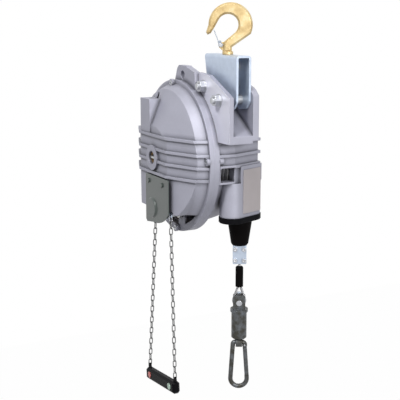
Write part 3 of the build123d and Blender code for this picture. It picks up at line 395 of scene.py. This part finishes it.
# %% [markdown]
# ## Paint, plastic and rubber
# The guard is painted sheet with a fine orange-peel skin, the outlet plate and pull handle are moulded
# plastic with a sparked grain, and the stop is rubber, rougher and slightly bloomed. They differ in colour,
# grain and shine, so one recipe takes those as its measures, with sizes and depths in metres.

# %% Moulded and painted skins


def skin(name, colour, roughness, grain, depth, bloom=0.25, edge_radius=0.0009, coat=0.0, shine=0.5):
    finish = Finish(name)
    normal, edge = soft_edges(finish, edge_radius)
    clouds = finish.noise(0.02, detail=4)
    pebbles = finish.noise(grain, detail=2, roughness=0.55)
    base = finish.mix(clouds, rgb(*colour), scaled(colour, 1 + bloom))
    worn = rgb(*[min(1.0, c * 1.4 + 0.004) for c in colour])
    finish.set(
        Specular_IOR_Level=shine,
        Base_Color=finish.mix(edge * 0.5, base, worn),
        Roughness=roughness + clouds * 0.12 + pebbles * 0.06,
        Normal=bumped(finish, pebbles, depth, normal),
        Coat_Weight=coat,
    )
    return finish.material


skins = {
    "guard_paint": ((0.050, 0.063, 0.058), 0.26, 0.0016, 0.00004, {"coat": 0.3}),
    "blank_plate": ((0.40, 0.365, 0.37), 0.34, 0.0008, 0.00002, {"bloom": 0.15}),
    "black_plastic": ((0.003, 0.003, 0.004), 0.42, 0.0006, 0.00006, {"shine": 0.05}),
    "handle_black": ((0.003, 0.003, 0.004), 0.36, 0.0008, 0.00005, {"shine": 0.06}),
    "black_rubber": ((0.003, 0.0025, 0.0025), 0.50, 0.0012, 0.00007, {"bloom": 0.4, "shine": 0.03}),
    "red_mark": ((0.62, 0.10, 0.08), 0.30, 0.002, 0.00002, {"bloom": 0.1, "coat": 0.4}),
    "green_mark": ((0.45, 0.62, 0.50), 0.30, 0.002, 0.00002, {"bloom": 0.1, "coat": 0.4}),
}
for slot, (colour, roughness, grain, depth, extras) in skins.items():
    finishes[slot] = skin(slot + "_finish", colour, roughness, grain, depth, **extras)
print(sorted(finishes))

# %% [markdown]
# ## Each solid takes the finish of its slot
# The record already says which material slot each node belongs to, so one loop dresses them all.

# %% Dress the solids
slot_of = {part["node"]: part["material_slot"] for part in frame["record"]["subparts"]}
for name, piece in nodes.items():
    piece.data.materials.clear()
    piece.data.materials.append(finishes[slot_of[name]])
print("dressed", len(slot_of), "solids in", len(set(slot_of.values())), "slots")

# %% [markdown]
# ## Chain links
# A pull chain's links are short loops of round wire, each turned a quarter turn from the last. One link is
# swept around its own oval, and copies of it are laid from the lever's hole to the handle's eye, as in CAD.

# %% Places shared with the CAD model
MM = 0.001
axle = Vector((-115, -43, -255)) * MM
chain_row = -50
link_inner = 12.1
link_pitch = 12.0
link_width = 4.0
link_wire = 2.0
link_count = 27


def spot(x, row, level):
    """Point given in millimetres from the middle of the drum axis."""
    return axle + Vector((x, row, level)) * MM


print("drum axis at", tuple(round(v, 3) for v in axle))

# %% One piece from swept rings


def swept(mesh, path, radius, sides=10, closed=False):
    """Add a round wire along a path of points to a bmesh."""
    rings = []
    count = len(path)
    up = None
    for k, point in enumerate(path):
        before = path[(k - 1) % count] if closed or k > 0 else point
        after = path[(k + 1) % count] if closed or k < count - 1 else point
        along = (after - before).normalized()
        if up is None:
            up = along.orthogonal()
        up = (up - along * up.dot(along)).normalized()
        side = along.cross(up)
        ring = []
        for j in range(sides):
            angle = 2 * math.pi * j / sides
            ring.append(mesh.verts.new(point + radius * (up * math.cos(angle) + side * math.sin(angle))))
        rings.append(ring)
    spans = count if closed else count - 1
    for k in range(spans):
        here, there = rings[k], rings[(k + 1) % count]
        for j in range(sides):
            mesh.faces.new((here[j], here[(j + 1) % sides], there[(j + 1) % sides], there[j]))
    if not closed:
        mesh.faces.new(list(reversed(rings[0])))
        mesh.faces.new(rings[-1])


def finished(mesh, name, slot, body, replaced, crease=None):
    """Turn a bmesh into a smooth piece that rides on a body in place of a plain solid."""
    bmesh.ops.recalc_face_normals(mesh, faces=mesh.faces[:])
    data = bpy.data.meshes.new(name)
    mesh.to_mesh(data)
    mesh.free()
    for face in data.polygons:
        face.use_smooth = True
    if crease:
        data.set_sharp_from_angle(angle=math.radians(crease))
    piece = bpy.data.objects.new(name, data)
    bpy.context.scene.collection.objects.link(piece)
    data.materials.append(finishes[slot])
    if body:
        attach(piece, body)
    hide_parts(replaced)
    return piece


print("swept wire helper ready")

# %% The two chains
bend_steps = 6
hook_in = 0.6  # how far the first link hangs into its hole


def oval(centre, along, across):
    """Centre line of one link: two half circles and two straight sides."""
    bend = (link_width + link_wire) / 2
    half = (link_inner + link_wire) / 2 - bend
    points = []
    for side in (1, -1):
        for k in range(bend_steps + 1):
            angle = math.pi * (k / bend_steps - 0.5)
            forward = side * (half + bend * math.cos(angle))
            sideways = side * bend * math.sin(angle)
            points.append(centre + (along * forward + across * sideways) * MM)
    return points


def chain(name, top, bottom):
    mesh = bmesh.new()
    along = (bottom - top).normalized()
    row_way = Vector((0, 1, 0))
    flat_way = row_way.cross(along)
    for k in range(link_count):
        centre = top + along * ((link_inner + link_wire) / 2 + k * link_pitch) * MM
        across = row_way if k % 2 == 0 else flat_way
        swept(mesh, oval(centre, along, across), link_wire / 2 * MM, closed=True)
    return finished(mesh, name + "_links", "zinc_fasteners", name, name)


chain_span = (link_count - 1) * link_pitch + link_inner + link_wire
for name, x_top, level, x_low in (("left_chain", -8, -119, -44), ("right_chain", 61, -104, 77)):
    drop = math.sqrt(chain_span**2 - (x_low - x_top) ** 2)
    top = spot(x_top, chain_row, level - hook_in)
    bottom = spot(x_low, chain_row, level - hook_in - drop)
    links = chain(name, top, bottom)
    print(name, len(links.data.polygons), "faces")

# %% [markdown]
# ## Wire rope
# Rope is six strands twisted round a core. Each strand is a wire whose path circles the rope's own line,
# so the same helper serves the straight fall, the loop in the thimble and the turns on the drum. The fall
# hangs from the housing and ends on the load, and is laid in place on no body.

# %% Twisted strands
rope_radius = 2.5
strand_count = 6
lay_length = 17.0
strand_swell = 1.02


def twisted(mesh, line, pieces_per_lay):
    """Add strands that wind round a line of points, given in metres."""
    strand = rope_radius / 3 * MM
    circle = rope_radius * MM - strand
    lengths = [0.0]
    for a, b in zip(line, line[1:]):
        lengths.append(lengths[-1] + (b - a).length)
    steps = max(4, int(lengths[-1] / (lay_length * MM) * pieces_per_lay))
    samples = []
    k = 0
    for step in range(steps + 1):
        reach = lengths[-1] * step / steps
        while k < len(line) - 2 and lengths[k + 1] < reach:
            k += 1
        share = (reach - lengths[k]) / (lengths[k + 1] - lengths[k])
        samples.append((line[k].lerp(line[k + 1], share), reach))
    for j in range(strand_count):
        path = []
        up = None
        for i, (point, reach) in enumerate(samples):
            ahead = samples[min(i + 1, steps)][0] - samples[max(i - 1, 0)][0]
            ahead.normalize()
            up = ahead.orthogonal() if up is None else up
            up = (up - ahead * up.dot(ahead)).normalized()
            angle = 2 * math.pi * (j / strand_count + reach / (lay_length * MM))
            path.append(point + circle * (up * math.cos(angle) + ahead.cross(up) * math.sin(angle)))
        swept(mesh, path, strand * strand_swell, sides=6)
    swept(mesh, [p for p, _ in samples], strand, sides=6)


def rope_piece(name, lines, body, replaced, pieces_per_lay=10):
    """A piece of stranded rope that runs along one line or more."""
    mesh = bmesh.new()
    for line in lines:
        twisted(mesh, line, pieces_per_lay)
    return finished(mesh, name, "wire_rope", body, replaced)


print(strand_count, "strands and a core,", rope_radius * 2, "mm over all")

# %% Straight rope: the fall and the end below the clamp
rope_x, rope_row = 115, 71.5
fall_top, fall_low = -0.3, -163.3
end_top, end_low = -163.5, -246.2
fall_line = [spot(rope_x, rope_row, fall_low), spot(rope_x, rope_row, fall_top)]
fall = rope_piece("rope_fall", [fall_line], None, "rope")
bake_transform(fall)
end_line = [spot(rope_x, rope_row, end_low), spot(rope_x, rope_row, end_top)]
rope_piece("rope_end", [end_line], "load", "rope_tail")
print("straight strands laid, the fall", fall_top - fall_low, "mm long at rest")

# %% Loop in the thimble
face_turn = math.radians(61)
loop_level, loop_radius = -275.5, 11.5
loop_steps = 24
neck = Vector((2.6, 27.3))
wrap = math.atan2(neck.y, neck.x) - math.acos(loop_radius / neck.length)


def in_plane(side, height):
    """Point in the loop's own upright plane, given from its centre."""
    x = rope_x + side * math.cos(face_turn)
    return spot(x, rope_row + side * math.sin(face_turn), loop_level + height)


loop_line = [in_plane(neck.x, neck.y)]
for k in range(loop_steps + 1):
    angle = wrap - (math.pi + 2 * wrap) * k / loop_steps
    loop_line.append(in_plane(loop_radius * math.cos(angle), loop_radius * math.sin(angle)))
loop_line.append(in_plane(-neck.x, neck.y))
rope_eye = rope_piece("rope_eye", [loop_line], "load", "rope_loop")
print("loop of", len(rope_eye.data.polygons), "faces")

# %% Turns on the drum
drum_radius = 115
drum_taper = 0.08
turn_steps = 120
turn_lines = []
for row in (64.5, 57.5, 50.5, 43.5):
    pitch = drum_radius + (rope_row - row) * drum_taper
    turns = [math.pi * (1 + 2 * k / turn_steps) for k in range(turn_steps + 1)]
    turn_lines.append([spot(pitch * math.cos(turn), row, pitch * math.sin(turn)) for turn in turns])
turns_on_drum = rope_piece("rope_turns", turn_lines, "drum", "rope_winding", pieces_per_lay=6)
print("rope laid, with", len(turns_on_drum.data.polygons), "faces on the drum")

# %% [markdown]
# ## Socket screws in the rope clamp
# Four cap screws squeeze the two halves of the clamp on the rope. Their solids are plain cylinders in CAD,
# so each one is turned again here from a profile, with a chamfered head and a six-sided key socket. Rings
# of one count join easily, so the socket's ring has the same points, pushed out to the sides of a hexagon.

# %% Turned screws
ring_points = 24


def ring_round(mesh, centre, outward, sideways, radius, key):
    """One ring of points, round, or six-sided when it is given a key size."""
    upright = outward.cross(sideways)
    ring = []
    for k in range(ring_points):
        angle = 2 * math.pi * k / ring_points
        reach = radius
        if key:
            past_flat = (angle + math.pi / 6) % (math.pi / 3) - math.pi / 6
            reach = key / 2 / math.cos(past_flat)
        way = sideways * math.cos(angle) + upright * math.sin(angle)
        ring.append(mesh.verts.new(centre + reach * MM * way))
    return ring


def turned(mesh, base, outward, sideways, profile):
    """Join rings of (height, radius, key) along an axis and close both ends."""
    rings = []
    for height, radius, key in profile:
        rings.append(ring_round(mesh, base + outward * height * MM, outward, sideways, radius, key))
    for low, high in zip(rings, rings[1:]):
        for k in range(ring_points):
            after = (k + 1) % ring_points
            mesh.faces.new((low[k], low[after], high[after], high[k]))
    mesh.faces.new(list(reversed(rings[0])))
    mesh.faces.new(rings[-1])


print("a turned ring has", ring_points, "points")

# %% Four cap screws
clamp_half = 10.0
clamp_level = sum(corner[2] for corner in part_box("rope_clamp_front")) / 2
shank, head, head_height, hex_key, chamfer = 2.5, 4.2, 3.2, 3.0, 0.5
shank_past = 2  # how far the shank stands out behind the clamp
socket_floor = 1.2  # height of the socket's floor over the clamp's face
screw_side, screw_rise = 8.5, 11
head_top = clamp_half + head_height
profile = [
    (-clamp_half - shank_past, shank - chamfer, 0),
    (-clamp_half - shank_past + chamfer, shank, 0),
    (clamp_half, shank, 0),
    (clamp_half, head, 0),
    (head_top - chamfer, head, 0),
    (head_top, head - chamfer, 0),
    (head_top, 0, hex_key),
    (clamp_half + socket_floor, 0, hex_key),
]
sideways = Vector((math.cos(face_turn), math.sin(face_turn), 0))
outward = Vector((math.sin(face_turn), -math.cos(face_turn), 0))
mesh = bmesh.new()
for side in (-screw_side, screw_side):
    for height in (-screw_rise, screw_rise):
        base = spot(rope_x, rope_row, 0) + sideways * side * MM
        base.z = clamp_level + height * MM
        turned(mesh, base, outward, sideways, profile)
cap_screws = finished(mesh, "cap_screws", "zinc_fasteners", "load", "clamp_screws", crease=30)
print("cap screws span", [round(v, 3) for v in cap_screws.dimensions], "m")

# %% [markdown]
# ## A floor that is white to the camera
# The balancer hangs in front of white. A bright lamp would wash the object out, so the floor itself turns
# white for rays that the eye follows: straight, mirrored or through glass. To all other rays it is a plain
# grey surface. It lies below the load's lowest place, so the rope has room to run out.

# %% Floor
white_rays = ("Is Camera Ray", "Is Glossy Ray", "Is Transmission Ray")
floor_white = 0.99
floor_clearance = 0.12
floor_reach = 6


def white_to_camera(finish, shade, share):
    """Show plain white to the camera, mirrors and glass, and a lit surface to everything else."""
    path = finish.tree.nodes.new("ShaderNodeLightPath")
    seen = sum(Wire(finish, path.outputs[ray]) for ray in white_rays)
    white = finish.tree.nodes.new("ShaderNodeEmission")
    white.inputs["Color"].default_value = rgb(1, 1, 1)
    white.inputs["Strength"].default_value = 1.0
    mixed = finish.tree.nodes.new("ShaderNodeMixShader")
    finish.plug(mixed, 0, seen * share)
    finish.tree.links.new(shade, mixed.inputs[1])
    finish.tree.links.new(white.outputs[0], mixed.inputs[2])
    return mixed.outputs[0]


floor_paint = Finish("pale_floor")
floor_paint.set(Base_Color=rgb(0.4, 0.4, 0.4), Roughness=0.8)
floor_shade = white_to_camera(floor_paint, floor_paint.shader.outputs[0], floor_white)
floor_paint.tree.links.new(floor_shade, floor_paint.tree.nodes["Material Output"].inputs["Surface"])
load_joint = next(j for j in frame["record"]["behaviour"]["joints"] if j["name"] == "load_travel")
floor_level = cad_bounds[0][2] - load_joint["range_m"][1] - floor_clearance
mesh = bmesh.new()
corners = [(-floor_reach, -floor_reach), (floor_reach, -floor_reach)]
corners += [(floor_reach, floor_reach), (-floor_reach, floor_reach)]
mesh.faces.new([mesh.verts.new((x, y, floor_level)) for x, y in corners])
floor_mesh = bpy.data.meshes.new("floor")
mesh.to_mesh(floor_mesh)
mesh.free()
floor_mesh.materials.append(floor_paint.material)
floor = bpy.data.objects.new("floor", floor_mesh)
bpy.context.scene.collection.objects.link(floor)
print("floor at", round(floor_level, 3))

# %% [markdown]
# ## The room around it
# The world works like the floor. It is white behind the object, and to the object it is only a soft, cool
# grey, as bright as the light that a white room throws back into the shadows.

# %% World
world = bpy.data.worlds.new("studio")
bpy.context.scene.world = world
world.use_nodes = True
tree = world.node_tree
ambient = tree.nodes["Background"]
ambient.inputs["Color"].default_value = rgb(0.92, 0.95, 1.0)
ambient.inputs["Strength"].default_value = 0.17
path = tree.nodes.new("ShaderNodeLightPath")
backdrop = tree.nodes.new("ShaderNodeBackground")
backdrop.inputs["Color"].default_value = rgb(1, 1, 1)
seen = path.outputs[white_rays[0]]
for ray in white_rays[1:]:
    either = tree.nodes.new("ShaderNodeMath")
    either.operation = "MAXIMUM"
    tree.links.new(seen, either.inputs[0])
    tree.links.new(path.outputs[ray], either.inputs[1])
    seen = either.outputs[0]
choice = tree.nodes.new("ShaderNodeMixShader")
tree.links.new(seen, choice.inputs[0])
tree.links.new(ambient.outputs[0], choice.inputs[1])
tree.links.new(backdrop.outputs[0], choice.inputs[2])
tree.links.new(choice.outputs[0], tree.nodes["World Output"].inputs["Surface"])
print("world is white to the camera")

# %% [markdown]
# ## Lamps
# Large square lamps give the soft edges of studio light. The key stands to the left and shapes the ribs,
# the fill lifts the outlet's side, the top lamp catches the shoulders, and the rim lamp parts the back
# edge from the white. Each is placed by its turn from the camera's side, so the light follows the view.

# %% Four lamps
view_turn = math.radians(63.12)
target = Vector((0.0, 0.0, -0.36))
lamps = {  # turn in degrees, height as a share of the distance, distance, size, power in watts
    "key": (-38, 1.0, 1.7, 0.45, 37),
    "fill": (26, 0.30, 1.9, 0.5, 25),
    "top": (5, 2.2, 1.2, 0.6, 18),
    "rim": (150, 0.6, 1.8, 0.8, 11),
}
for name, (turn, height, distance, size, power) in lamps.items():
    angle = view_turn + math.radians(turn)
    place = target + distance * Vector((math.sin(angle), -math.cos(angle), height))
    data = bpy.data.lights.new(name, "AREA")
    data.shape = "SQUARE"
    data.size = size
    data.energy = power
    light = bpy.data.objects.new(name, data)
    aim = (place - target).to_track_quat("Z", "Y").to_matrix().to_4x4()
    light.matrix_world = Matrix.Translation(place) @ aim
    bpy.context.scene.collection.objects.link(light)
print(len(lamps), "soft lamps")

# %% [markdown]
# ## Camera
# The balancer is seen from a little above its middle and well round to the rope outlet. The turn, the tilt,
# the place and the focal length were fitted together to points of the object, because a long lens from
# far off and a short one from near by give the same size and a different shape.

# %% Camera
picture = 400
focal_pixels = 922
shift_pixels = -13
pitch = math.radians(10.86)
camera_data = bpy.data.cameras.new("camera")
camera = bpy.data.objects.new("camera", camera_data)
bpy.context.scene.collection.objects.link(camera)
camera_data.sensor_width = 36.0
camera_data.lens = focal_pixels / picture * camera_data.sensor_width
camera_data.shift_y = shift_pixels / picture
camera_data.clip_end = 30
eye = spot(1621.9, -778.1, 281.3)
level_gaze = Vector((-math.sin(view_turn), math.cos(view_turn), 0)) * math.cos(pitch)
gaze = level_gaze + Vector((0, 0, -math.sin(pitch)))
camera.matrix_world = Matrix.Translation(eye) @ gaze.to_track_quat("-Z", "Y").to_matrix().to_4x4()
bpy.context.scene.camera = camera
bpy.context.scene.view_settings.view_transform = "Standard"
print("camera", round(camera_data.lens, 1), "mm at", tuple(round(v, 2) for v in eye))

# %% [markdown]
# ## End
# The dressed model has to stay the size of the CAD model.

# %% End
print("dressing done")
